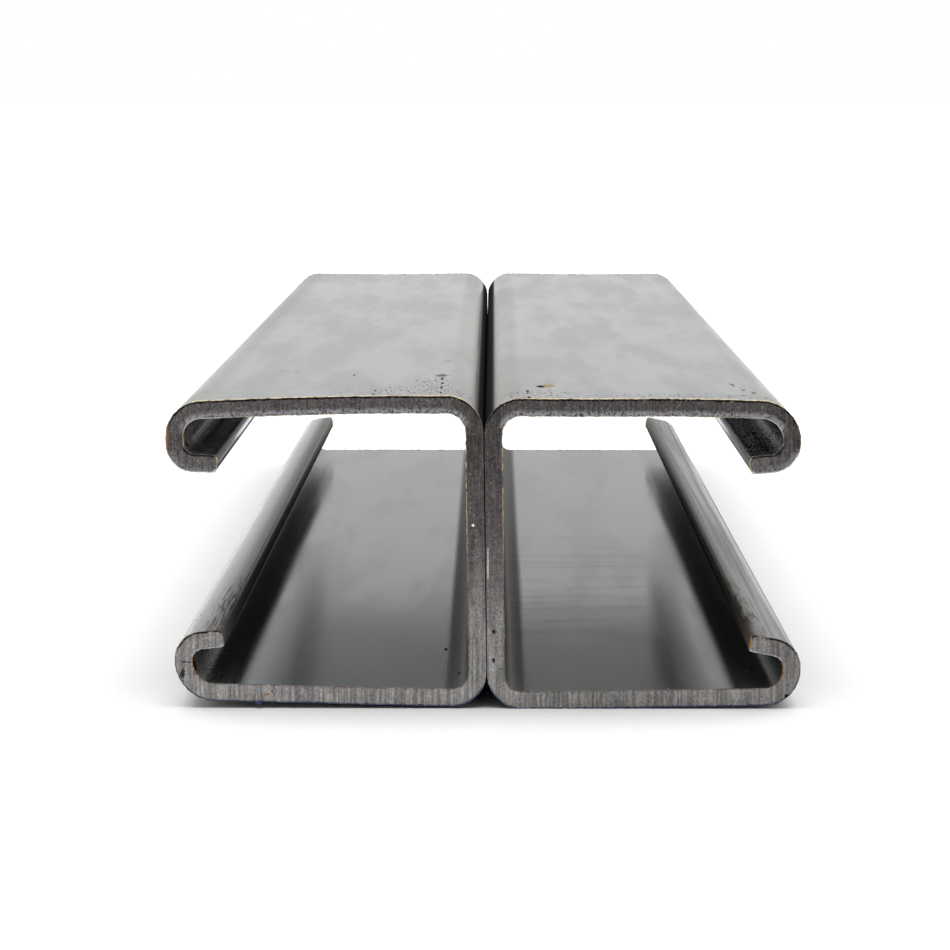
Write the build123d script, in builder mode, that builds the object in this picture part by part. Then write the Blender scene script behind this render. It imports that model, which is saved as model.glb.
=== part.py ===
from build123d import *
import os

# Back-to-back strut channel: two lengths of cold-formed steel strut, laid web to web and spot-welded
# through their webs. Each channel is one strip bent six times: a web, two flanges, two lips that
# close over the mouth, and two returns that turn back into the channel for a nut to grip.
# X runs across the pair, from mouth to mouth. Y runs along the stock, and Z is up.
# The origin is at the middle of the length, on the seam between the webs, on the floor.

# Driving dimensions, in millimetres
length = 254.0  # cut length, ten inches
web_height = 41.3
channel_depth = 41.3  # from the back of the web to the face of the lips
thickness = 2.3  # of the steel strip
bend_radius = 2.2  # inside each bend
lip_width = 9.5  # from the outside of the flange to the outside of the return
return_depth = 6.8  # how far the strip turns back behind the face of the lips
strip_edge_radius = 0.5  # the strip's own rounded edges, at the ends of the returns
web_gap = 0.16  # left between the two webs beside each weld

# Spot welds, in one row along the middle of the webs
weld_pitch = 50.8
weld_count = 5
nugget_diameter = 7.0  # fused metal that bridges the gap between the webs
mark_diameter = 9.0  # the mark that the electrode leaves inside the channel
mark_depth = 0.25
mark_slope = 60.0  # of the mark's rim, in degrees from the electrode's axis

# Places that follow from them
back = web_gap / 2
mouth = back + channel_depth
return_end = mouth - return_depth
outer_bend_radius = bend_radius + thickness
web_middle = web_height / 2

with BuildPart() as channel_right:
    # The strip's outer side, from the middle of the web to the end of the upper return
    with BuildSketch(Plane.XZ) as strip_section:
        with BuildLine() as strip_side:
            FilletPolyline(
                (back, web_middle),
                (back, web_height),
                (mouth, web_height),
                (mouth, web_height - lip_width),
                (return_end, web_height - lip_width),
                radius=outer_bend_radius,
            )
            offset(amount=thickness, side=Side.RIGHT)
        make_face()
        mirror(about=Plane.XZ.offset(-web_middle))
        return_corners = [v for v in strip_section.vertices() if abs(v.X - return_end) < 0.01]
        fillet(return_corners, radius=strip_edge_radius)
    extrude(amount=length / 2, both=True)

    # Half of each weld nugget stands on the back of the web, and meets the other half at the seam
    with BuildSketch(Plane.YZ.offset(back)) as nuggets:
        with Locations((0, web_middle)):
            with GridLocations(weld_pitch, 0, weld_count, 1):
                Circle(nugget_diameter / 2)
    extrude(amount=-web_gap / 2)

    # The electrode's marks, sunk into the web from inside the channel
    with BuildSketch(Plane.YZ.offset(back + thickness)) as electrode_marks:
        with Locations((0, web_middle)):
            with GridLocations(weld_pitch, 0, weld_count, 1):
                Circle(mark_diameter / 2)
    extrude(amount=-mark_depth, taper=mark_slope, mode=Mode.SUBTRACT)

with BuildPart() as channel_left:
    mirror(channel_right.part, about=Plane.YZ)

os.makedirs("parts", exist_ok=True)
channel_right.part.label = "channel_right"
export_step(channel_right.part, "parts/channel_right.step")
channel_left.part.label = "channel_left"
export_step(channel_left.part, "parts/channel_left.step")
print("channel volume", round(channel_right.part.volume), "mm3, mouth at", round(mouth, 2))
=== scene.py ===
import math

import bmesh
import bpy
from mathutils import Matrix, Vector, noise
from mathutils.kdtree import KDTree


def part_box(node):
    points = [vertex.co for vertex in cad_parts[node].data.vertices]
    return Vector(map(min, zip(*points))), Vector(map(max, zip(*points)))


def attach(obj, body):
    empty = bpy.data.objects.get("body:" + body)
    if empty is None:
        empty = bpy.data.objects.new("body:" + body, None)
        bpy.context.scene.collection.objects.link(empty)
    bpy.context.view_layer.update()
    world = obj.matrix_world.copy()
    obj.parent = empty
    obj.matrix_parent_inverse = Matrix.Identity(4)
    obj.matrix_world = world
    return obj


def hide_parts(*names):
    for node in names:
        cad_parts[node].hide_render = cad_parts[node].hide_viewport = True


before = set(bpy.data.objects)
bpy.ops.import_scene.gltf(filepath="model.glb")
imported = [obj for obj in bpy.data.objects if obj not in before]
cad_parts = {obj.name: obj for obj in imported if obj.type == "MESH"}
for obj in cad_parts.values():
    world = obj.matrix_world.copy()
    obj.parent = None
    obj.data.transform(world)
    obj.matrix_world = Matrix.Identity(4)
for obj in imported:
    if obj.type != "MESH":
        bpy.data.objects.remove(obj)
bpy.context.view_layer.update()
mm = 0.001
touching = 0.01 * mm  # places nearer than this count as one

# The rolled strip, the same for both channels
strip = {
    "thickness": 2.3 * mm,
    "bendRadius": 2.2 * mm,  # inside each bend
    "edgeRadius": 0.5 * mm,  # on the strip's own edges, at the ends of the returns
    "webGap": 0.16 * mm,
    "cellsThrough": 4,  # cells through the thickness
    "cell": 0.62 * mm,  # cell length round the section
    "bendSteps": 20,  # round each bend of a right angle
    "edgeSteps": 4,  # round each of the strip's own edges
    "leastFlat": 0.1 * mm,  # how much of a lip stays flat between its bends, at the least
}

# What each length of channel has of its own. Its rolls bent no two corners quite alike and left the returns
# a little under-bent all along, and at the near end the flanges toe in. Angles are in degrees.
channels = {
    "channel_right": {
        "side": 1,
        "lift": 0.0,
        "top": {"toe": 0.7, "webRadius": 2.5 * mm, "reach": -0.1 * mm, "lipRadius": 2.8 * mm,
                "lipWidth": 9.2 * mm, "returnRadius": 1.9 * mm, "returnDepth": 7.0 * mm, "lean": 7.0},
        "foot": {"toe": 0.85, "webRadius": 2.2 * mm, "reach": -0.15 * mm, "lipRadius": 2.4 * mm,
                 "lipWidth": 9.0 * mm, "returnRadius": 1.5 * mm, "returnDepth": 7.25 * mm, "lean": 12.0},
        "knots": [(36.3 * mm, 10.4 * mm, 0.22 * mm), (37.3 * mm, 10.2 * mm, 0.25 * mm)],
    },
    "channel_left": {
        "side": -1,
        "lift": 0.35 * mm,
        "top": {"toe": 1.45, "webRadius": 2.5 * mm, "reach": 0.1 * mm, "lipRadius": 2.2 * mm,
                "lipWidth": 9.25 * mm, "returnRadius": 1.5 * mm, "returnDepth": 6.85 * mm, "lean": 5.0},
        "foot": {"toe": 1.3, "webRadius": 2.2 * mm, "reach": -0.35 * mm, "lipRadius": 2.8 * mm,
                 "lipWidth": 9.25 * mm, "returnRadius": 1.6 * mm, "returnDepth": 6.8 * mm, "lean": 7.0},
        "knots": [(30.1 * mm, 0.0, 0.35 * mm)],  # lumps of burr: across, height, how far it stands out
    },
}
pairLean = 0.7  # degrees: the foot of the pair stands a little to the right of its top
flangeBow = 1.2  # how a flange bends as it closes in, where 1 is straight
flangeCrown = 0.2 * mm  # the top flanges bulge this much midway
nearLoss = 0.2 * mm  # how much less high the near end is

# Spot welds along the webs
welds = {
    "count": 5,
    "pitch": 50.8 * mm,
    "nuggetRadius": 3.5 * mm,
    "markRadius": 4.5 * mm,
    "markDepth": 0.25 * mm,
    "markRim": 0.45 * mm,
    "window": 5.2 * mm,  # half the width of the finer mesh round each mark
    "windowCuts": 16,  # cuts along the finer mesh
    "between": 19 * mm,  # the mesh is cut once more, this far to either side of each weld
}

# The sawn ends
sawCut = {
    "rings": (0.12, 0.3, 0.7, 1.6, 4.0),  # mm from the end, where the mesh is cut finer
    "split": 3,  # cuts across each cell of an end
    "grooveDepth": 0.035 * mm,
    "grooveWidth": 0.45 * mm,
    "grooveRun": 6.0 * mm,
    "waveDepth": 0.06 * mm,
    "waves": 90.0,  # per metre
    "burrOut": 0.10 * mm,
    "burrAlong": 0.10 * mm,
    "burrs": 1900.0,  # per metre
    "burrMean": 0.3,  # how much of the burr there is on average, and how much that varies
    "burrVaries": 0.8,
    "knotRadius": 0.6 * mm,
    "seamBurr": 0.15,  # how much of the burr is left in the seam
    "edgeBand": 1.1 * mm,  # how far in from the edge the rim's marks reach
}

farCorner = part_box("channel_right")[1]
mouth, halfLength, height = farCorner
outerRadius = strip["bendRadius"] + strip["thickness"]
webMiddle = height / 2
back = strip["webGap"] / 2
weldPlaces = [(i - (welds["count"] - 1) / 2) * welds["pitch"] for i in range(welds["count"])]


# The pen is the row of edges across the strip's thickness that is being rolled round the section
def penVerts(pen):
    return list({v for e in pen for v in e.verts})


def rollStraight(bm, pen, heading, length):
    steps = max(1, round(length / strip["cell"]))
    for _ in range(steps):
        grown = bmesh.ops.extrude_edge_only(bm, edges=pen)["geom"]
        fresh = {g for g in grown if isinstance(g, bmesh.types.BMVert)}
        bmesh.ops.translate(bm, verts=list(fresh), vec=heading * (length / steps))
        pen = [g for g in grown if isinstance(g, bmesh.types.BMEdge) and fresh.issuperset(g.verts)]
    return pen


def rollBend(bm, pen, heading, inward, degrees, radius):
    innermost = max(penVerts(pen), key=lambda v: v.co.dot(inward))
    centre = innermost.co + inward * radius
    axis = heading.cross(inward)
    steps = max(1, round(strip["bendSteps"] * degrees / 90))
    turned = bmesh.ops.spin(bm, geom=penVerts(pen) + pen, cent=centre, axis=axis, dvec=(0, 0, 0),
                            angle=math.radians(degrees), steps=steps, use_duplicate=False)["geom_last"]
    pen = [g for g in turned if isinstance(g, bmesh.types.BMEdge)]
    turn = Matrix.Rotation(math.radians(degrees), 3, axis)
    return pen, turn @ heading, turn @ inward


# Half of the section, from the middle of the web round to the end of the return
def rollHalf(bm, pen, heading, half):
    inward = Vector((1, 0, 0))
    webOuter, lipOuter, returnOuter = (half[bend] + strip["thickness"] for bend in
                                       ("webRadius", "lipRadius", "returnRadius"))
    pen = rollStraight(bm, pen, heading, webMiddle - webOuter)
    pen, heading, inward = rollBend(bm, pen, heading, inward, 90, half["webRadius"])
    pen = rollStraight(bm, pen, heading, mouth - back - webOuter - lipOuter + half["reach"])
    pen, heading, inward = rollBend(bm, pen, heading, inward, 90, half["lipRadius"])
    pen = rollStraight(bm, pen, heading, max(half["lipWidth"] - lipOuter - returnOuter, strip["leastFlat"]))
    pen, heading, inward = rollBend(bm, pen, heading, inward, 90 - half["lean"], half["returnRadius"])
    pen = rollStraight(bm, pen, heading, half["returnDepth"] - returnOuter)
    corners = [v for v in penVerts(pen) if len(v.link_edges) == 2]
    bmesh.ops.bevel(bm, geom=corners, offset=strip["edgeRadius"], segments=strip["edgeSteps"],
                    profile=0.5, affect="VERTICES", material=-1)


# The whole section, as a flat grid of cells in the plane of the near end. The attribute "inside" goes
# from 0 on the strip's outer side to 1 on its inner side.
def rollSection(bm, shape):
    insideLayer = bm.verts.layers.float.new("inside")
    outer = bm.verts.new((back, -halfLength, webMiddle))
    inner = bm.verts.new((back + strip["thickness"], -halfLength, webMiddle))
    inner[insideLayer] = 1
    pen = [bm.edges.new((outer, inner))]
    bmesh.ops.subdivide_edges(bm, edges=pen, cuts=strip["cellsThrough"] - 1)
    pen = list(bm.edges)
    rollHalf(bm, pen, Vector((0, 0, 1)), shape["top"])
    rollHalf(bm, pen, Vector((0, 0, -1)), shape["foot"])


# Where the mesh is cut along the length: close together at the ends, and to either side of each weld
def lengthStops():
    stops = {halfLength}
    for distance in sawCut["rings"]:
        stops.update((halfLength - distance * mm, distance * mm - halfLength))
    for place in weldPlaces:
        for distance in (welds["window"], welds["between"]):
            stops.update((place - distance, place + distance))
    return sorted(stops)


# Draws the flat section out along the length, and takes away the faces it leaves inside
def drawOut(bm):
    ends = list(bm.faces)
    spent = []
    for stop in lengthStops():
        grown = bmesh.ops.extrude_face_region(bm, geom=ends)["geom"]
        fresh = [g for g in grown if isinstance(g, bmesh.types.BMVert)]
        bmesh.ops.translate(bm, verts=fresh, vec=(0, stop - fresh[0].co.y, 0))
        bmesh.ops.delete(bm, geom=spent, context="FACES")
        ends = spent = [g for g in grown if isinstance(g, bmesh.types.BMFace)]
    bmesh.ops.recalc_face_normals(bm, faces=bm.faces)


# An electrode's mark inside the web and half a nugget on its back, at each weld
def markWelds(bm):
    reach = welds["window"] + touching
    almostAcross = 1.9 * welds["window"]
    webFaces = (back, back + strip["thickness"])

    def near(v, place):
        onWeb = min(abs(v.co.x - x) for x in webFaces) < touching
        return onWeb and abs(v.co.z - webMiddle) < reach and abs(v.co.y - place) < reach

    for place in weldPlaces:
        longEdges = [e for e in bm.edges if e.calc_length() > almostAcross
                     and near(e.verts[0], place) and near(e.verts[1], place)]
        bmesh.ops.subdivide_edges(bm, edges=longEdges, cuts=welds["windowCuts"])
        finer = [e for e in bm.edges if near(e.verts[0], place) and near(e.verts[1], place)]
        bmesh.ops.subdivide_edges(bm, edges=finer, cuts=1, use_grid_fill=True)
        for v in bm.verts:
            if not near(v, place):
                continue
            away = math.hypot(v.co.y - place, v.co.z - webMiddle)
            if v.co.x > back + strip["thickness"] / 2:
                sunk = min(1, max(0, (welds["markRadius"] - away) / welds["markRim"]))
                v.co.x -= welds["markDepth"] * sunk * sunk * (3 - 2 * sunk)
            elif away < welds["nuggetRadius"]:
                v.co.x = 0


# The saw's grooves and slow waves, and the burr that it leaves along both edges of the strip.
# sawEdge is 1 on the rim of a cut face and 0 past the edge band, and edgeFacing says whether the
# nearest rim faces up (1) or down (-1). Each end takes its own part of the noise.
def sawEnds(bm, knots):
    def onEnd(v):
        return abs(abs(v.co.y) - halfLength) < touching

    endEdges = [e for e in bm.edges if onEnd(e.verts[0]) and onEnd(e.verts[1])]
    bmesh.ops.subdivide_edges(bm, edges=endEdges, cuts=sawCut["split"], use_grid_fill=True)
    bm.normal_update()
    edgeLayer = bm.verts.layers.float.new("sawEdge")
    facingLayer = bm.verts.layers.float.new("edgeFacing")
    endVerts = [v for v in bm.verts if onEnd(v)]
    for face in bm.faces:
        face.material_index = 1 if abs(face.normal.y) > 0.99 else 0
        face.smooth = True
    rim = [v for v in endVerts if any(f.material_index == 0 for f in v.link_faces)]
    for edge in bm.edges:
        if len({f.material_index for f in edge.link_faces}) == 2:
            edge.smooth = False
    tree = KDTree(len(rim))
    for i, v in enumerate(rim):
        tree.insert(v.co, i)
    tree.balance()
    outward = [sum((f.normal for f in v.link_faces if f.material_index == 0), Vector()).normalized()
               for v in rim]
    for v in endVerts:
        _, index, away = tree.find(v.co)
        v[edgeLayer] = max(0, 1 - away / sawCut["edgeBand"])
        v[facingLayer] = outward[index].z
        end = math.copysign(1, v.co.y)
        spot = Vector((v.co.x / sawCut["grooveWidth"], end * 9, v.co.z / sawCut["grooveRun"]))
        groove = noise.noise(spot) * sawCut["grooveDepth"]
        wave = noise.noise(Vector((v.co.x, end * 0.05, v.co.z)) * sawCut["waves"]) * sawCut["waveDepth"]
        v.co.y += end * (groove + wave - sawCut["waveDepth"])
    for v, out in zip(rim, outward):
        end = math.copysign(1, v.co.y)
        cloud = noise.noise(v.co * sawCut["burrs"] + Vector((0, end * 5, 0)))
        ragged = max(0, cloud * sawCut["burrVaries"] + sawCut["burrMean"])
        inSeam = out.x < -0.9 and v.co.x < back + 0.1 * mm
        if inSeam:
            ragged *= sawCut["seamBurr"]
        lump = 0
        if end < 0:
            lump = sum(size * max(0, 1 - math.hypot(v.co.x - across, v.co.z - up) / sawCut["knotRadius"])
                       for across, up, size in knots)
        along = Vector((0, end, 0))
        v.co += out * (sawCut["burrOut"] * ragged + lump) + along * (sawCut["burrAlong"] * ragged + lump)


# Sawing lets go of the stress that the rolls left in the strip, so the flanges close in towards the near
# end, which is also a little less high. The top flanges keep their crown.
def settle(bm, shape):
    flange = mouth - back - outerRadius
    for v in bm.verts:
        nearness = (halfLength - v.co.y) / (2 * halfLength)
        out = max(0, (v.co.x - back - outerRadius) / flange)
        half = shape["top"] if v.co.z > webMiddle else shape["foot"]
        drop = math.tan(math.radians(half["toe"])) * flange * out ** flangeBow * nearness
        if v.co.z > webMiddle:
            drop -= flangeCrown * 4 * out * max(0, 1 - out)
        rise = (shape["lift"] - nearLoss * v.co.z / height) * nearness
        v.co.z = max(0, v.co.z + math.copysign(drop, webMiddle - v.co.z) + rise)


# One length of channel: rolled opening to +X, mirrored where its side says so, and leant with its pair
def buildChannel(name, shape):
    bm = bmesh.new()
    rollSection(bm, shape)
    drawOut(bm)
    markWelds(bm)
    sawEnds(bm, shape["knots"])
    settle(bm, shape)
    bmesh.ops.scale(bm, vec=(shape["side"], 1, 1), verts=bm.verts)
    lean = Matrix.Identity(4)
    lean[0][2] = -math.tan(math.radians(pairLean))
    bmesh.ops.transform(bm, matrix=lean, space=Matrix.Translation((0, 0, -webMiddle)), verts=bm.verts)
    bmesh.ops.recalc_face_normals(bm, faces=bm.faces)
    mesh = bpy.data.meshes.new(name + "_steel")
    bm.to_mesh(mesh)
    openEdges = sum(1 for e in bm.edges if not e.is_manifold)
    volume = round(bm.calc_volume() / mm ** 3)
    print("built", name, len(bm.faces), "faces,", openEdges, "open edges,", volume, "mm3")
    bm.free()
    piece = bpy.data.objects.new(name + "_steel", mesh)
    bpy.context.scene.collection.objects.link(piece)
    return piece


# Adds a node; each of its inputs takes another node's output or a plain value
def addNode(tree, kind, inputs, **settings):
    node = tree.nodes.new("ShaderNode" + kind)
    for key, value in settings.items():
        setattr(node, key, value)
    for key, value in inputs.items():
        if isinstance(value, bpy.types.NodeSocket):
            tree.links.new(value, node.inputs[key])
        else:
            node.inputs[key].default_value = value
    return node


def calculate(tree, operation, first, second=0.0, third=0.0):
    return addNode(tree, "Math", {0: first, 1: second, 2: third}, operation=operation).outputs[0]


def remap(tree, value, fromLow, fromHigh, toLow=0.0, toHigh=1.0):
    inputs = {"Value": value, "From Min": fromLow, "From Max": fromHigh,
              "To Min": toLow, "To Max": toHigh}
    return addNode(tree, "MapRange", inputs, interpolation_type="SMOOTHSTEP").outputs[0]


def mixColour(tree, amount, under, over):
    return addNode(tree, "Mix", {0: amount, 6: under, 7: over}, data_type="RGBA").outputs[2]


def tone(tree, colour, amount):
    return addNode(tree, "VectorMath", {0: colour, "Scale": amount}, operation="SCALE").outputs[0]


# How the noise in the materials is made
texture = {
    "patchDetail": 3.0,
    "patchRoughness": 0.6,
    "clouds": 1.7,  # per millimetre, in the noise that makes the marks uneven
    "cloudDetail": 2.0,
    "markUneven": 2.2,  # how much the clouds move a mark's outline, in half sizes
    "markOuter": 1.3,  # where a mark begins and where it is full, in half sizes
    "markInner": 0.6,
}


# An empty node group with named inputs and one output called Mask
def newGroup(name, takes):
    tree = bpy.data.node_groups.new(name, "ShaderNodeTree")
    for label, start in takes.items():
        kind = "NodeSocketFloat" if isinstance(start, float) else "NodeSocketVector"
        tree.interface.new_socket(label, in_out="INPUT", socket_type=kind).default_value = start
    tree.interface.new_socket("Mask", in_out="OUTPUT", socket_type="NodeSocketFloat")
    return tree, tree.nodes.new("NodeGroupInput").outputs, tree.nodes.new("NodeGroupOutput").inputs


# Patches, streaks or specks: noise with its own stretch along each axis, in cycles per millimetre
def patchesGroup():
    tree, takes, gives = newGroup("patches", {"Place": (0, 0, 0), "Stretch": (1, 1, 1), "Seed": 0.0,
                                              "Least": 0.4, "Most": 0.6})
    places = {0: takes["Place"], 1: takes["Stretch"]}
    stretched = addNode(tree, "VectorMath", places, operation="MULTIPLY")
    inputs = {"Vector": stretched.outputs[0], "W": takes["Seed"], "Scale": 1.0,
              "Detail": texture["patchDetail"], "Roughness": texture["patchRoughness"]}
    cloud = addNode(tree, "TexNoise", inputs, noise_dimensions="4D")
    tree.links.new(remap(tree, cloud.outputs[0], takes["Least"], takes["Most"]), gives["Mask"])
    return tree


# One mark at a given place, with a given half size. Cloud, from -0.5 to 0.5, makes its outline uneven.
def markGroup():
    tree, takes, gives = newGroup("mark", {"Place": (0, 0, 0), "Centre": (0, 0, 0), "Reach": (1, 1, 1),
                                           "Cloud": 0.0, "Strength": 1.0})
    aside = addNode(tree, "VectorMath", {0: takes["Place"], 1: takes["Centre"]}, operation="SUBTRACT")
    scaled = addNode(tree, "VectorMath", {0: aside.outputs[0], 1: takes["Reach"]}, operation="DIVIDE")
    away = addNode(tree, "VectorMath", {0: scaled.outputs[0]}, operation="LENGTH")
    uneven = calculate(tree, "MULTIPLY", takes["Cloud"], texture["markUneven"])
    edge = calculate(tree, "ADD", away.outputs["Value"], uneven)
    shape = remap(tree, edge, texture["markOuter"], texture["markInner"])
    tree.links.new(calculate(tree, "MULTIPLY", shape, takes["Strength"]), gives["Mask"])
    return tree


# Builds one material from its look, which is a dictionary. Places in it are in millimetres.
#   zones: a value, and where along it a mask goes from 0 to 1, or between the two amounts that follow
#   patterns: cycles per millimetre along each axis, a seed, and the noise that counts as none and as all
#   ranges: what 0 and 1 of a mask stand for
#   shares, dullness, relief: how much of a mask goes into the colour, the dullness and the relief
#   marks: a centre, the half size along each axis and a strength
class Palette:
    def __init__(self, name, look, patches, mark):
        self.material = bpy.data.materials.new(name)
        self.material.use_nodes = True
        self.tree = self.material.node_tree
        self.look, self.patches, self.mark = look, patches, mark
        coords = addNode(self.tree, "TexCoord", {})
        self.place = addNode(self.tree, "VectorMath", {0: coords.outputs["Object"], "Scale": 1 / mm},
                             operation="SCALE").outputs[0]
        axes = addNode(self.tree, "SeparateXYZ", {0: self.place}).outputs
        uneven = addNode(self.tree, "TexNoise", {"Vector": self.place, "Scale": texture["clouds"],
                                                 "Detail": texture["cloudDetail"]})
        along = calculate(self.tree, "ABSOLUTE", axes[1])
        self.values = {
            "x": axes[0], "y": axes[1], "z": axes[2],
            "aside": calculate(self.tree, "ABSOLUTE", axes[0]),  # distance from the seam
            "fromEnd": calculate(self.tree, "SUBTRACT", halfLength / mm, along),
            "cloud": calculate(self.tree, "SUBTRACT", uneven.outputs[0], 0.5),
        }

    # One of the values above, a mask that was kept, or else one of the mesh's own attributes
    def value(self, name):
        if name not in self.values:
            self.values[name] = addNode(self.tree, "Attribute", {}, attribute_name=name).outputs["Fac"]
        return self.values[name]

    def keep(self, name, mask):
        self.values[name] = mask
        return mask

    def ramp(self, value, start, end, low=0.0, high=1.0):
        return remap(self.tree, value, start, end, low, high)

    def both(self, *masks):
        found = masks[0]
        for other in masks[1:]:
            found = calculate(self.tree, "MULTIPLY", found, other)
        return found

    def either(self, *masks):
        found = masks[0]
        for other in masks[1:]:
            found = calculate(self.tree, "MAXIMUM", found, other)
        return found

    def zone(self, *names):
        rows = [self.look["zones"][name] for name in names]
        return self.both(*(self.ramp(self.value(value), *limits) for value, *limits in rows))

    def pattern(self, name):
        stretch, seed, least, most = self.look["patterns"][name]
        inputs = {"Place": self.place, "Stretch": stretch, "Seed": float(seed),
                  "Least": least, "Most": most}
        return addNode(self.tree, "Group", inputs, node_tree=self.patches).outputs[0]

    def marks(self, name):
        found = 0.0
        for centre, reach, strength in self.look["marks"][name]:
            inputs = {"Place": self.place, "Centre": centre, "Reach": reach, "Cloud": self.value("cloud"),
                      "Strength": strength}
            one = addNode(self.tree, "Group", inputs, node_tree=self.mark)
            found = self.either(found, one.outputs[0])
        return found

    def spread(self, mask, name):
        return self.ramp(mask, 0, 1, *self.look["ranges"][name])

    def share(self, mask, name, table="shares"):
        return self.both(mask, self.look[table][name])

    def dulled(self, masks):
        return self.either(*(self.share(mask, name, "dullness") for name, mask in masks.items()))

    def layer(self, colour, mask, name):
        return mixColour(self.tree, mask, colour, self.look["colours"][name])

    def vary(self, colour, mask, name):
        return tone(self.tree, colour, self.spread(mask, name))

    def finish(self, colour, dull, roughness, heights):
        relief = addNode(self.tree, "Bump", {"Height": heights, "Distance": mm, "Strength": 1.0})
        steel = self.tree.nodes["Principled BSDF"].inputs
        self.tree.links.new(colour, steel["Base Color"])
        self.tree.links.new(calculate(self.tree, "SUBTRACT", 1.0, dull), steel["Metallic"])
        self.tree.links.new(roughness, steel["Roughness"])
        self.tree.links.new(relief.outputs[0], steel["Normal"])
        steel["Specular Tint"].default_value = self.look["edgeTint"]
        steel["Specular IOR Level"].default_value = 0
        return self.material


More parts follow.
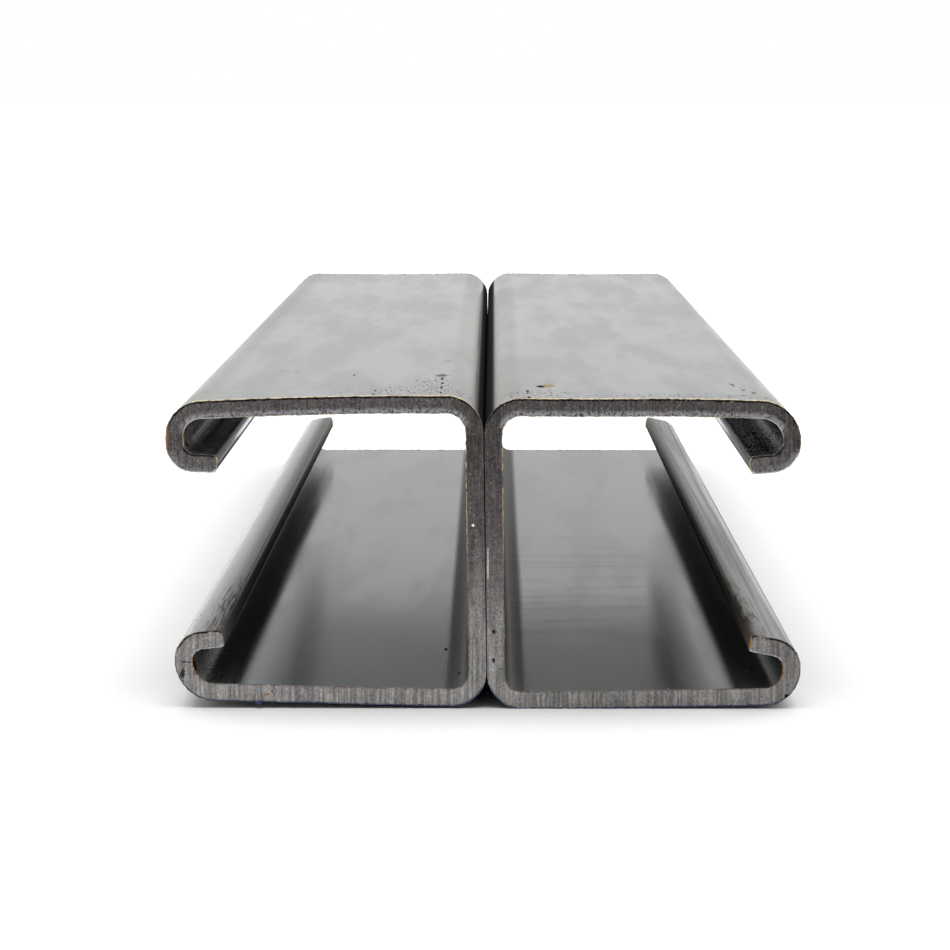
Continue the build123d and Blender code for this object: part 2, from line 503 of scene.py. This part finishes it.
# Steel as the rolls leave it, with what the shop's floor and the saw added, and with painted shade, light and
# reflections
rolled = {
    "edgeTint": (0.80, 0.805, 0.805, 1),  # what it reflects at a glancing angle
    "topRough": 0.05,  # rougher by this on the tops, which have been handled
    "dullRough": 0.8,  # how rough a fully dull spot is
    "colours": {
        "base": (0.235, 0.237, 0.238, 1),
        "cool": (0.190, 0.204, 0.210, 1),
        "warm": (0.238, 0.224, 0.202, 1),
        "heatStraw": (0.30, 0.22, 0.12, 1),
        "heatBlue": (0.12, 0.14, 0.20, 1),
        "rust": (0.30, 0.17, 0.06, 1),
        "fringeHighlight": (0.78, 0.69, 0.48, 1),
        "yellow": (0.34, 0.25, 0.07, 1),
        "lipGrime": (0.125, 0.118, 0.105, 1),
        "brownGrime": (0.075, 0.062, 0.045, 1),
        "edgeGrime": (0.17, 0.14, 0.105, 1),
        "paintedBendShade": (0.060, 0.053, 0.045, 1),
        "paintedCurlShade": (0.040, 0.060, 0.075, 1),
        "paintedCurlLight": (0.40, 0.39, 0.365, 1),
        "paintedGrooveShade": (0.006, 0.009, 0.013, 1),
        "soot": (0.012, 0.011, 0.011, 1),
    },
    "patterns": {
        "clouds": ((0.10, 0.006, 0.10), 1, 0.25, 0.75),
        "warmLines": ((0.10, 0.007, 0.10), 4, 0.45, 0.75),
        "crossBands": ((0.03, 0.75, 0.03), 3, 0.35, 0.65),
        "paintedFloorStreaks": ((0.03, 0.24, 0.03), 12, 0.46, 0.66),
        "lipLines": ((1.1, 0.008, 1.1), 13, 0.3, 0.7),
        "lipSmears": ((2.4, 0.16, 2.4), 15, 0.45, 0.6),
        "fringeHighlight": ((0.9, 0.4, 0.9), 6, 0.38, 0.5),
        "rust": ((0.9, 0.5, 0.9), 5, 0.6, 0.75),
        "scratches": ((2.0, 0.35, 2.0), 14, 0.42, 0.56),
        "flecks": ((2.7, 1.0, 2.7), 7, 0.555, 0.61),
        "strays": ((1.3, 0.4, 1.3), 8, 0.68, 0.72),
        "shine": ((0.12, 0.02, 0.12), 9, 0.35, 0.65),
        "rollLines": ((4.0, 0.03, 4.0), 10, 0.2, 0.8),
        "ripples": ((0.9, 1.6, 0.9), 11, 0.2, 0.8),
    },
    "zones": {
        "within": ("inside", 0.55, 0.75),  # the strip's inner side
        "without": ("inside", 0.45, 0.25),  # its outer side
        "top": ("z", 36.0, 40.0),
        "floor": ("z", 5.0, 3.4),
        "bendByMouth": ("aside", 34.5, 37.5),
        "bendByWeb": ("aside", 5.6, 3.8),
        "crossBands": ("fromEnd", 45, 8),
        "rightFloor": ("x", 1.0, 4.0),
        "streaksAlong": ("y", 25, -20),
        "streaksAcross": ("x", 32, 20),
        "paintedNearReflection": ("y", -88, -108),
        "paintedNearReflectionSide": ("x", -2, 2, 0.3, 1.0),
        "lip": ("aside", 34.2, 35.0),
        "underTop": ("z", 35.0, 32.0),
        "lipSmears": ("y", -75, -105),
        "lipInwards": ("aside", 39.0, 35.0),
        "lipSide": ("x", -10, 10, 0.2, 1.7),
        "edgeFromOuter": ("inside", 0.02, 0.12),
        "edgeFromInner": ("inside", 0.98, 0.88),
        "lowerHalf": ("z", 16, 14),
        "web": ("aside", 3.2, 2.8),
        "heatStraw": ("fromWeld", 9.5, 6.8),
        "heatBlue": ("fromWeld", 6.9, 5.6),
        "weldCentre": ("fromWeld", 4.9, 4.1),
        "fringeAcross": ("aside", 2.0, 3.5),
        "fringeAlong": ("y", -125.3, -126.3),
        "rust": ("fromEnd", 6.0, 0.5),
        "strays": ("fromEnd", 18, 2),
        "groove": ("aside", 1.5, 0.8),
        "curl": ("aside", 32.2, 34.2),
        "curlAlong": ("y", 128, 50, 0.1, 0.33),
        "bendAcross": ("aside", 6.4, 4.6),
        "bendFoot": ("z", 8.0, 4.5),
    },
    "ranges": {
        "edges": (1.0, 0.86),
        "within": (1.0, 0.56),
        "crossBands": (1.03, 0.90),
        "paintedFloorStreaks": (1.0, 0.62),
        "paintedNearReflection": (1.0, 0.60),
        "lipLines": (1.04, 0.93),
        "lipGrime": (0.12, 0.24),
        "brownGrime": (0.45, 0.78),
        "edgeGrime": (0.5, 0.8),
        "heatWobble": (-0.5, 0.5),  # millimetres
        "roughness": (0.12, 0.17),
    },
    "shares": {
        "clouds": 0.35, "warmLines": 0.6, "paintedNearReflection": 0.6, "heatStraw": 0.8, "heatBlue": 0.85,
        "weldCentre": 0.5, "rust": 0.4, "fringeHighlight": 0.85, "groove": 0.92, "bend": 0.45,
    },
    "dullness": {"within": 0.12, "edges": 0.12, "rust": 0.6, "fringeHighlight": 0.7, "yellow": 0.9},
    "relief": {"rollLines": 0.0006, "ripples": 0.0009},  # millimetres
    "marks": {
        "soot": [
            ((7.4, -111.2, 41.2), (0.5, 1.6, 0.9), 1.0),
            ((5.6, -117.2, 41.2), (0.22, 1.2, 0.9), 1.0),
            ((5.6, -119.8, 41.2), (0.25, 0.8, 0.9), 1.0),
            ((5.7, -125.0, 41.2), (0.25, 1.2, 0.9), 1.0),
            ((-6.1, -99.7, 41.4), (0.75, 2.2, 0.9), 0.55),
            ((-6.0, -104.5, 41.4), (0.25, 1.7, 0.9), 0.8),
            ((-5.9, -110.5, 41.4), (0.2, 1.2, 0.9), 0.8),
            ((-5.9, -116.0, 41.4), (0.22, 2.2, 0.9), 0.9),
            ((-5.9, -122.8, 41.4), (0.2, 1.0, 0.9), 0.9),
            ((-5.6, -79.0, 41.4), (0.5, 2.6, 0.9), 0.18),
            ((-18.4, -99.3, 41.3), (0.2, 1.6, 0.9), 0.5),
            ((-28.9, -91.0, 41.2), (0.6, 2.5, 0.9), 0.13),
            ((-26.8, -92.0, 41.2), (0.5, 2.5, 0.9), 0.12),
            ((20.3, -67.0, 41.3), (0.9, 4.5, 0.9), 0.12),
            ((-5.6, -100.4, 2.5), (0.32, 1.1, 1.6), 0.65),
            ((-3.6, -117.5, 3.4), (0.25, 1.3, 1.2), 0.8),
            ((16.7, -58.0, 2.3), (1.3, 2.2, 1.0), 0.10),
            ((22.5, -59.5, 2.3), (1.5, 2.2, 1.0), 0.12),
            ((-38.6, -124.8, 36.9), (0.9, 1.5, 0.8), 1.0),
            ((-36.9, -123.6, 38.2), (0.9, 1.8, 0.9), 1.0),
            ((-38.8, -124.0, 34.8), (0.9, 1.4, 0.6), 0.9),
            ((-38.0, -125.6, 32.9), (1.2, 1.0, 0.5), 0.8),
            ((38.0, -125.0, 36.0), (1.0, 2.2, 1.6), 0.8),
            ((-38.2, -125.5, 6.2), (0.9, 1.5, 1.5), 1.0),
        ],
        "sootCrowds": [
            ((-10.5, -121.5, 41.3), (7.5, 6.5, 3.0), 1.0),
            ((-7.0, -112.0, 41.3), (2.5, 9.0, 3.0), 0.8),
            ((7.0, -121.5, 41.3), (5.0, 6.0, 3.0), 0.8),
            ((26.0, -123.0, 41.3), (11.0, 3.0, 3.0), 0.7),
            ((-37.5, -116.0, 6.5), (3.0, 13.0, 3.5), 0.8),
            ((36.8, -118.0, 34.0), (3.5, 9.0, 3.5), 0.8),
        ],
        "paintedCurlLight": [
            ((-38.3, -121.5, 35.5), (2.2, 6.0, 3.8), 0.50),
            ((-38.3, -121.0, 5.4), (2.4, 7.0, 4.2), 0.45),
            ((38.6, -124.0, 34.6), (1.4, 3.0, 1.6), 0.35),
        ],
        "yellow": [
            ((8.5, -110.3, 41.2), (0.9, 2.0, 0.9), 0.75),
            ((8.7, -105.5, 41.2), (0.7, 3.5, 0.9), 0.2),
        ],
        "scratches": [
            ((33.7, -107.5, 41.0), (0.3, 3.0, 1.2), 0.5),
            ((34.6, -113.0, 41.0), (0.35, 2.6, 1.2), 0.6),
            ((35.7, -118.5, 40.8), (0.4, 2.6, 1.4), 0.6),
            ((37.2, -122.5, 40.2), (0.6, 2.0, 1.6), 0.5),
        ],
    },
}


# How far each place is from the middle of the nearest weld, across the web
def fromWeld(p, clouds):
    pitch = welds["pitch"] / mm
    along = calculate(p.tree, "WRAP", p.value("y"), pitch / 2, -pitch / 2)
    up = calculate(p.tree, "SUBTRACT", p.value("z"), webMiddle / mm)
    across = addNode(p.tree, "CombineXYZ", {0: along, 1: up})
    away = addNode(p.tree, "VectorMath", {0: across.outputs[0]}, operation="LENGTH").outputs["Value"]
    return calculate(p.tree, "ADD", away, p.spread(clouds, "heatWobble"))


def rolledSteel(patches, mark):
    p = Palette("rolledSteel", rolled, patches, mark)
    within, without = p.zone("within"), p.zone("without")
    onTop = p.both(without, p.zone("top"))
    onFloor = p.both(within, p.zone("floor"))

    # The oil film: broad soft clouds, warmer along some lines, and fine bands across the strip by the cut
    clouds = p.pattern("clouds")
    edges = p.both(onTop, p.either(p.zone("bendByMouth"), p.zone("bendByWeb")))
    colour = p.layer(rolled["colours"]["base"], p.share(clouds, "clouds"), "cool")
    colour = p.layer(colour, p.either(p.share(p.pattern("warmLines"), "warmLines"), edges), "warm")
    colour = p.vary(colour, edges, "edges")
    # Painted shade: the strip's inner side, inside the channels, is darker
    colour = p.vary(colour, within, "within")
    colour = p.vary(colour, p.both(p.pattern("crossBands"), p.zone("crossBands")), "crossBands")

    # The right floor: darker streaks across it and a darker, cooler near end, which are painted reflections
    streaks = p.both(onFloor, p.pattern("paintedFloorStreaks"),
                     p.zone("rightFloor", "streaksAlong", "streaksAcross"))
    paintedNearReflection = p.both(onFloor, p.zone("paintedNearReflection"))
    colour = p.vary(colour, streaks, "paintedFloorStreaks")
    # Painted reflection: the floors are darker and cooler at the near end, more so on the right
    colour = p.vary(colour, p.both(paintedNearReflection, p.zone("paintedNearReflectionSide")), "paintedNearReflection")
    colour = p.layer(colour, p.share(paintedNearReflection, "paintedNearReflection"), "cool")

    # The lips and the lower returns: streaked along their length where the rolls rubbed, browner towards
    # the returns' edges, and with finer smears by the cut
    onLip = p.both(without, p.zone("lip", "underTop"))
    lipLines = p.pattern("lipLines")
    smears = p.both(p.pattern("lipSmears"), p.zone("lipSmears"))
    colour = p.vary(colour, p.both(onLip, lipLines), "lipLines")
    lipGrime = p.both(onLip, p.spread(lipLines, "lipGrime"), p.zone("lipSide"))
    brownGrime = p.both(onLip, p.zone("lipInwards"), p.spread(smears, "brownGrime"))
    ownEdge = p.zone("edgeFromOuter", "edgeFromInner", "lowerHalf")
    edgeGrime = p.both(ownEdge, p.spread(p.value("inside"), "edgeGrime"))

    # Heat tint round each weld
    p.keep("fromWeld", fromWeld(p, clouds))
    colour = p.layer(colour, p.share(p.zone("web", "heatStraw"), "heatStraw"), "heatStraw")
    colour = p.layer(colour, p.share(p.zone("web", "heatBlue"), "heatBlue"), "heatBlue")
    colour = p.layer(colour, p.share(p.zone("web", "weldCentre"), "weldCentre"), "cool")

    # A painted highlight along the top flanges' cut edge, where the saw's burr catches the light, fine rust
    # by the cut, and a yellow mark
    fringeHighlight = p.both(onTop, p.zone("fringeAcross", "fringeAlong"), p.pattern("fringeHighlight"))
    rust = p.both(p.zone("rust"), p.pattern("rust"))
    yellow = p.marks("yellow")
    colour = p.layer(colour, p.share(rust, "rust"), "rust")
    colour = p.layer(colour, p.share(fringeHighlight, "fringeHighlight"), "fringeHighlight")
    colour = p.layer(colour, yellow, "yellow")

    # Grime along the lips; painted shade in the bends at the webs' feet, in the curls and in the groove
    # between the channels; and painted light in the curls beside the cut
    bend = p.share(p.both(within, p.zone("bendAcross", "bendFoot")), "bend")
    curl = p.both(within, p.zone("curl", "curlAlong"))
    paintedCurlLight = p.both(within, p.marks("paintedCurlLight"))
    groove = p.share(p.both(without, p.zone("groove")), "groove")
    grimeShadeAndLight = {"lipGrime": lipGrime, "brownGrime": brownGrime, "edgeGrime": edgeGrime, "paintedBendShade": bend,
              "paintedCurlShade": curl, "paintedCurlLight": paintedCurlLight, "paintedGrooveShade": groove}
    for name, mask in grimeShadeAndLight.items():
        colour = p.layer(colour, mask, name)

    # Soot: flecks in crowds by the cut, a few further in, single specks, and scratches filled with it
    scratches = p.both(p.marks("scratches"), p.pattern("scratches"))
    crowds = p.both(p.pattern("flecks"), p.marks("sootCrowds"))
    strays = p.both(p.pattern("strays"), p.zone("strays"))
    soot = p.either(crowds, strays, p.marks("soot"), scratches)
    colour = p.layer(colour, soot, "soot")

    partlyDull = {"within": within, "edges": edges, "rust": rust, "fringeHighlight": fringeHighlight, "yellow": yellow}
    dull = p.either(soot, *grimeShadeAndLight.values(), p.dulled(partlyDull))
    roughness = calculate(p.tree, "ADD", p.spread(p.pattern("shine"), "roughness"),
                          p.both(onTop, rolled["topRough"]))
    roughness = p.either(roughness, p.both(dull, rolled["dullRough"]))
    heights = calculate(p.tree, "ADD", p.share(p.pattern("rollLines"), "rollLines", "relief"),
                        p.share(p.pattern("ripples"), "ripples", "relief"))
    return p.finish(colour, dull, roughness, heights)


# The sawn faces: darker and browner towards the top, where the darkness is painted shade and the pale foot is
# painted light from the floor, with upright saw lines, coarse grain, pits and a rim partly painted as lit
sawn = {
    "edgeTint": (0.6, 0.6, 0.6, 1),
    "raggedRim": 0.35,  # how uneven the rim's lines are
    "colours": {
        # foot and top: the face's tone at its foot and at its top, a painted gradient of light and shade
        "foot": (0.375, 0.366, 0.360, 1),
        "top": (0.090, 0.082, 0.084, 1),
        "brown": (0.29, 0.235, 0.185, 1),
        "paintedPaleLight": (0.40, 0.405, 0.425, 1),
        "rim": (0.66, 0.53, 0.32, 1),
        "lowRim": (0.14, 0.085, 0.045, 1),
        "paintedUnderShadow": (0.045, 0.075, 0.15, 1),
        "salt": (0.72, 0.66, 0.52, 1),
        "coldSalt": (0.62, 0.68, 0.78, 1),
        "rust": (0.40, 0.17, 0.04, 1),
        "soot": (0.012, 0.011, 0.012, 1),
        "paintedHighlights": (0.95, 0.95, 0.92, 1),
    },
    "patterns": {
        "lines": ((2.9, 0.2, 0.13), 21, 0.33, 0.67),
        "grain": ((3.0, 3.0, 2.6), 22, 0.3, 0.7),
        "blotches": ((0.7, 0.7, 0.6), 23, 0.38, 0.62),
        "brown": ((3.6, 0.3, 0.25), 31, 0.45, 0.65),
        "glints": ((1.1, 1.1, 0.8), 29, 0.54, 0.66),
        "breaks": ((0.8, 0.8, 0.8), 25, 0.38, 0.52),  # gaps in the rim
        "salt": ((3.4, 3.4, 3.0), 26, 0.62, 0.70),
        "coldSalt": ((3.1, 3.1, 2.7), 30, 0.63, 0.71),
        "pepper": ((2.8, 2.8, 2.3), 28, 0.62, 0.68),
        "rust": ((0.5, 0.5, 0.4), 27, 0.64, 0.74),
    },
    "zones": {
        "paintedShadeUpwards": ("z", 1.0, 27.0),
        "low": ("z", 16.0, 3.0),
        "high": ("z", 26.0, 31.0),
        "facingUp": ("edgeFacing", 0.1, 0.6),
        "facingDown": ("edgeFacing", -0.15, -0.6),
        "paleUp": ("z", 31.0, 37.0, 0.45, 1.0),
        "paleEdge": ("sawEdge", 0.1, 0.75),
        "paleGrain": ("grain", 0.0, 0.7),
        "glintFoot": ("z", 4.0, 3.2),
        "glintEdge": ("sawEdge", 0.25, 0.7),
        "offSeam": ("aside", 0.5, 1.1),
        "inner": ("inside", 0.6, 0.85),
        "outer": ("inner", 1, 0),
        "curl": ("aside", 33.0, 35.0),
        "burrShadowLine": ("unevenEdge", 0.71, 0.80),
        "burrShadowLineStop": ("sawEdge", 0.97, 0.93),
        "rim": ("sawEdge", 0.90, 0.96),
        "rimUp": ("z", 12.0, 26.0),
        "rimOutside": ("innerUp", 0.6, 0.2),
        "lowRim": ("unevenEdge", 0.84, 0.95),
        "lowRimDown": ("z", 26.0, 16.0),
        "litRim": ("sawEdge", 0.86, 0.94),
        "litRimUp": ("z", 4.0, 6.0),
        "rustRim": ("sawEdge", 0.88, 0.95),
        "rustRimDown": ("z", 22.0, 14.0),
        "rustRimCurl": ("aside", 36.2, 37.2),
        "rustRimBreaks": ("cloud", -0.1, 0.05),
        "paintedUnderShadow": ("unevenEdge", 0.82, 0.92),
        "underRimDown": ("z", 4.0, 2.5),
        "salt": ("z", 30.0, 12.0, 0.75, 0.5),
        "rust": ("sawEdge", 0.6, 0.9),
    },
    "ranges": {
        "lowLines": (0.92, 1.25),
        "lines": (0.80, 1.15),
        "grain": (0.68, 1.45),
        "lowGrain": (1.0, 0.6),
        "blotches": (0.92, 1.09),
        "lowRim": (0.35, 0.9),
        "litRim": (0.4, 1.0),
        "roughness": (0.42, 0.6),
    },
    "shares": {
        "brown": 0.22, "paintedPaleLight": 0.85, "glints": 0.7, "rim": 0.85, "lowRim": 0.85, "paintedUnderShadow": 0.9,
        "litRim": 0.8, "rustRim": 0.8, "salt": 0.55, "coldSalt": 0.38, "pepper": 0.6, "rust": 0.8,
    },
    "dullness": {"lowRim": 0.7, "paintedUnderShadow": 0.8, "rust": 0.7, "pepper": 0.5},
    "relief": {"lines": 0.02, "grain": 0.018, "pits": 0.06, "pepper": 0.024},  # millimetres
    # Places whose tone differs: zones along x, z or aside that all have to hold, and the tone
    "regions": [
        # The first place, the lighter foot, is painted light
        ([("z", 5.0, 2.2)], 1.05),
        ([("x", 4.0, 9.0), ("z", 13.0, 8.0)], 0.80),
        ([("x", 36.0, 39.0)], 0.80),
        ([("x", -3.0, -6.0), ("z", 34.0, 38.0)], 1.25),
        ([("aside", 3.0, 2.0), ("z", 26.0, 38.0)], 0.72),
        ([("z", 35.5, 33.0), ("z", 27.0, 30.0), ("aside", 20, 30)], 1.45),
    ],
    "marks": {
        "pits": [
            ((1.1, -127, 10.3), (0.22, 1.5, 0.3), 1.0),
            ((1.1, -127, 6.5), (0.2, 1.5, 0.28), 1.0),
            ((39.7, -127, 1.75), (0.3, 1.5, 0.3), 1.0),
            ((-39.9, -127, 4.6), (0.3, 1.5, 0.8), 0.9),
            ((-39.4, -127, 6.2), (0.7, 1.5, 0.12), 0.8),
            ((-38.4, -127, 4.6), (0.12, 1.5, 0.6), 0.6),
        ],
        "rust": [
            ((-28.8, -127, 1.9), (0.4, 1.5, 0.16), 1.0),
            ((34.9, -127, 9.0), (0.16, 1.5, 0.8), 1.0),
            ((-41.55, -127, 36.4), (0.16, 1.5, 2.6), 0.8),
            ((-39.0, -127, 37.9), (0.1, 1.5, 0.5), 0.6),
        ],
        "paintedHighlights": [
            ((-1.6, -127, 24.4), (0.16, 1.5, 0.16), 1.0),
            ((0.35, -127, 19.0), (0.08, 1.5, 2.6), 0.6),
        ],
    },
}


def sawnSteel(patches, mark):
    p = Palette("sawnSteel", sawn, patches, mark)
    lines, low = p.pattern("lines"), p.zone("low")
    grain = p.keep("grain", p.pattern("grain"))

    # Tone up the face, darker towards the top as painted shade and lighter at the foot as painted light, then
    # upright saw lines that deepen towards the foot, grain and blotches
    colour = p.layer(sawn["colours"]["foot"], p.zone("paintedShadeUpwards"), "top")
    for limits, amount in sawn["regions"]:
        region = p.both(*(p.ramp(p.value(value), start, end) for value, start, end in limits))
        colour = tone(p.tree, colour, p.ramp(region, 0, 1, 1.0, amount))
    colour = p.vary(colour, p.both(lines, low), "lowLines")
    colour = p.vary(colour, lines, "lines")
    colour = p.vary(colour, p.both(grain, p.spread(low, "lowGrain")), "grain")
    colour = p.vary(colour, p.pattern("blotches"), "blotches")
    colour = p.layer(colour, p.share(p.pattern("brown"), "brown"), "brown")

    # Painted light: the face is paler towards its lower edge under the top flanges, and has painted glints
    # along the floors' edge
    facingUp, facingDown, high = p.zone("facingUp"), p.zone("facingDown"), p.zone("high")
    paintedPaleLight = p.both(facingDown, high, p.zone("paleUp", "paleEdge", "paleGrain"))
    glints = p.both(facingUp, p.zone("glintFoot", "glintEdge"), p.pattern("glints"))
    colour = p.layer(colour, p.share(paintedPaleLight, "paintedPaleLight"), "paintedPaleLight")
    colour = p.layer(colour, p.share(glints, "glints"), "paintedPaleLight")

    # Its rim: a painted shadow line inside a painted highlight along the top, brown at the lower edges, a
    # blue-black painted shadow underneath, and painted highlights along the curls
    ragged = p.both(p.value("cloud"), sawn["raggedRim"])
    p.keep("unevenEdge", calculate(p.tree, "ADD", p.value("sawEdge"), ragged))
    inner, onCurl, offSeam = p.keep("inner", p.zone("inner")), p.zone("curl"), p.zone("offSeam")
    p.keep("innerUp", p.both(inner, facingUp))
    breaks = p.pattern("breaks")
    lineOnCurl = p.both(onCurl, p.zone("outer"), breaks)
    burrShadowLine = p.both(facingUp, p.either(high, lineOnCurl), p.zone("burrShadowLine", "burrShadowLineStop"))
    rim = p.both(breaks, offSeam, p.zone("rim", "rimUp", "rimOutside"))
    lowRim = p.both(offSeam, p.zone("lowRim", "lowRimDown"), p.spread(breaks, "lowRim"))
    litRim = p.both(facingDown, onCurl, p.zone("litRim", "litRimUp"), p.spread(breaks, "litRim"))
    rustRim = p.both(inner, p.zone("rustRim", "rustRimDown", "rustRimCurl", "rustRimBreaks"))
    paintedUnderShadow = p.both(facingDown, p.zone("paintedUnderShadow", "underRimDown"))
    # Painted highlight: the rim colour where the burr catches the light
    colour = p.layer(colour, p.share(rim, "rim"), "rim")
    colour = p.layer(colour, p.share(lowRim, "lowRim"), "lowRim")
    # Painted shadow: the blue-black line under the foot, where it meets the floor
    colour = p.layer(colour, p.share(paintedUnderShadow, "paintedUnderShadow"), "paintedUnderShadow")
    # Painted highlight: the cold salt colour along the curls' lower rim
    colour = p.layer(colour, p.share(litRim, "litRim"), "coldSalt")
    colour = p.layer(colour, p.share(rustRim, "rustRim"), "rust")
    # Painted shadow: the soot colour in the line under the burr
    colour = p.layer(colour, burrShadowLine, "soot")

    # Salt and pepper, rust and pits
    salt = p.both(p.pattern("salt"), p.zone("salt"))
    coldSalt, pepper = p.pattern("coldSalt"), p.pattern("pepper")
    rust = p.either(p.marks("rust"), p.both(p.pattern("rust"), p.zone("rust")))
    pits = p.marks("pits")
    colour = p.layer(colour, p.share(salt, "salt"), "salt")
    colour = p.layer(colour, p.share(coldSalt, "coldSalt"), "coldSalt")
    colour = p.layer(colour, p.share(pepper, "pepper"), "soot")
    colour = p.layer(colour, p.share(rust, "rust"), "rust")
    colour = p.layer(colour, pits, "soot")
    # Painted highlights: near-white marks on the webs' cut edge
    colour = p.layer(colour, p.marks("paintedHighlights"), "paintedHighlights")

    partlyDull = {"lowRim": lowRim, "paintedUnderShadow": paintedUnderShadow, "rust": rust, "pepper": pepper}
    dull = p.either(pits, burrShadowLine, p.dulled(partlyDull))
    raised = calculate(p.tree, "ADD", p.share(lines, "lines", "relief"), p.share(grain, "grain", "relief"))
    sunk = p.either(p.share(pits, "pits", "relief"), p.share(pepper, "pepper", "relief"))
    heights = calculate(p.tree, "SUBTRACT", raised, sunk)
    return p.finish(colour, dull, p.spread(grain, "roughness"), heights)


# Camera: a long lens a little above the top flanges, looking down the length of the pair
camera = {
    "place": (0.0010, -0.4912, 0.0804),
    "down": 7.71,  # degrees below level
    "turn": 0.37,  # degrees to the left of the pair's own direction
    "lens": 106.8,
    "sensor": 36,
    "clipStart": 0.01,
}


def addCamera():
    data = bpy.data.cameras.new("camera")
    data.lens = camera["lens"]
    data.sensor_width = camera["sensor"]
    data.clip_start = camera["clipStart"]
    view = bpy.data.objects.new("camera", data)
    view.location = camera["place"]
    view.rotation_euler = (math.radians(90 - camera["down"]), 0, math.radians(camera["turn"]))
    bpy.context.scene.collection.objects.link(view)
    bpy.context.scene.camera = view


# The studio: a white paper floor, a bright wall behind the pair, a dim room in front of it, and a lamp above
studio = {
    "floorSize": 40.0,
    "floorColour": (0.96, 0.96, 0.96, 1),
    "wallBehind": 1.0,
    "roomInFront": 0.2,
    "wallEdge": (-0.6, 0.4),  # where the room ends and where the wall is full; 1 is straight behind
    "lampAbove": 3.3,
    "lampEdge": (0.80, 0.90),  # where the lamp begins and where it is full; 1 is straight up
}


def addFloor():
    bm = bmesh.new()
    bmesh.ops.create_grid(bm, x_segments=1, y_segments=1, size=studio["floorSize"] / 2)
    mesh = bpy.data.meshes.new("floor")
    bm.to_mesh(mesh)
    bm.free()
    floor = bpy.data.objects.new("floor", mesh)
    bpy.context.scene.collection.objects.link(floor)
    material = bpy.data.materials.new("floorPaper")
    material.use_nodes = True
    paper = material.node_tree.nodes["Principled BSDF"]
    paper.inputs["Base Color"].default_value = studio["floorColour"]
    paper.inputs["Roughness"].default_value = 1
    paper.inputs["Specular IOR Level"].default_value = 0
    mesh.materials.append(material)


# The camera sees white all round. Glossy and clear things see it too on the side behind the pair.
def addSky():
    world = bpy.data.worlds.new("studio")
    bpy.context.scene.world = world
    world.use_nodes = True
    tree = world.node_tree
    coords = addNode(tree, "TexCoord", {})
    split = addNode(tree, "SeparateXYZ", {0: coords.outputs["Generated"]})
    behind = remap(tree, split.outputs["Y"], *studio["wallEdge"])
    room = remap(tree, behind, 0, 1, studio["roomInFront"], studio["wallBehind"])
    over = remap(tree, split.outputs["Z"], *studio["lampEdge"])
    light = addNode(tree, "Mix", {0: over, 2: room, 3: studio["lampAbove"]}, data_type="FLOAT").outputs[0]
    ray = addNode(tree, "LightPath", {})
    mirrored = calculate(tree, "MAXIMUM", ray.outputs["Is Glossy Ray"], ray.outputs["Is Transmission Ray"])
    belowLamp = calculate(tree, "MULTIPLY", behind, calculate(tree, "SUBTRACT", 1.0, over))
    wall = calculate(tree, "MULTIPLY", mirrored, belowLamp)
    seen = calculate(tree, "MAXIMUM", ray.outputs["Is Camera Ray"], wall)
    strength = addNode(tree, "Mix", {0: seen, 2: light, 3: 1.0}, data_type="FLOAT").outputs[0]
    tree.links.new(strength, tree.nodes["Background"].inputs["Strength"])
    tree.nodes["Background"].inputs["Color"].default_value = (1, 1, 1, 1)


patches, mark = patchesGroup(), markGroup()
rolledSkin, sawnSkin = rolledSteel(patches, mark), sawnSteel(patches, mark)
print("made the rolled and the sawn steel")
for name, shape in channels.items():
    piece = buildChannel(name, shape)
    piece.data.materials.append(rolledSkin)
    piece.data.materials.append(sawnSkin)
    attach(piece, "root")
    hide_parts(name)
addCamera()
addFloor()
addSky()
bpy.context.scene.view_settings.view_transform = "Standard"
print("added the camera, the floor and the sky")
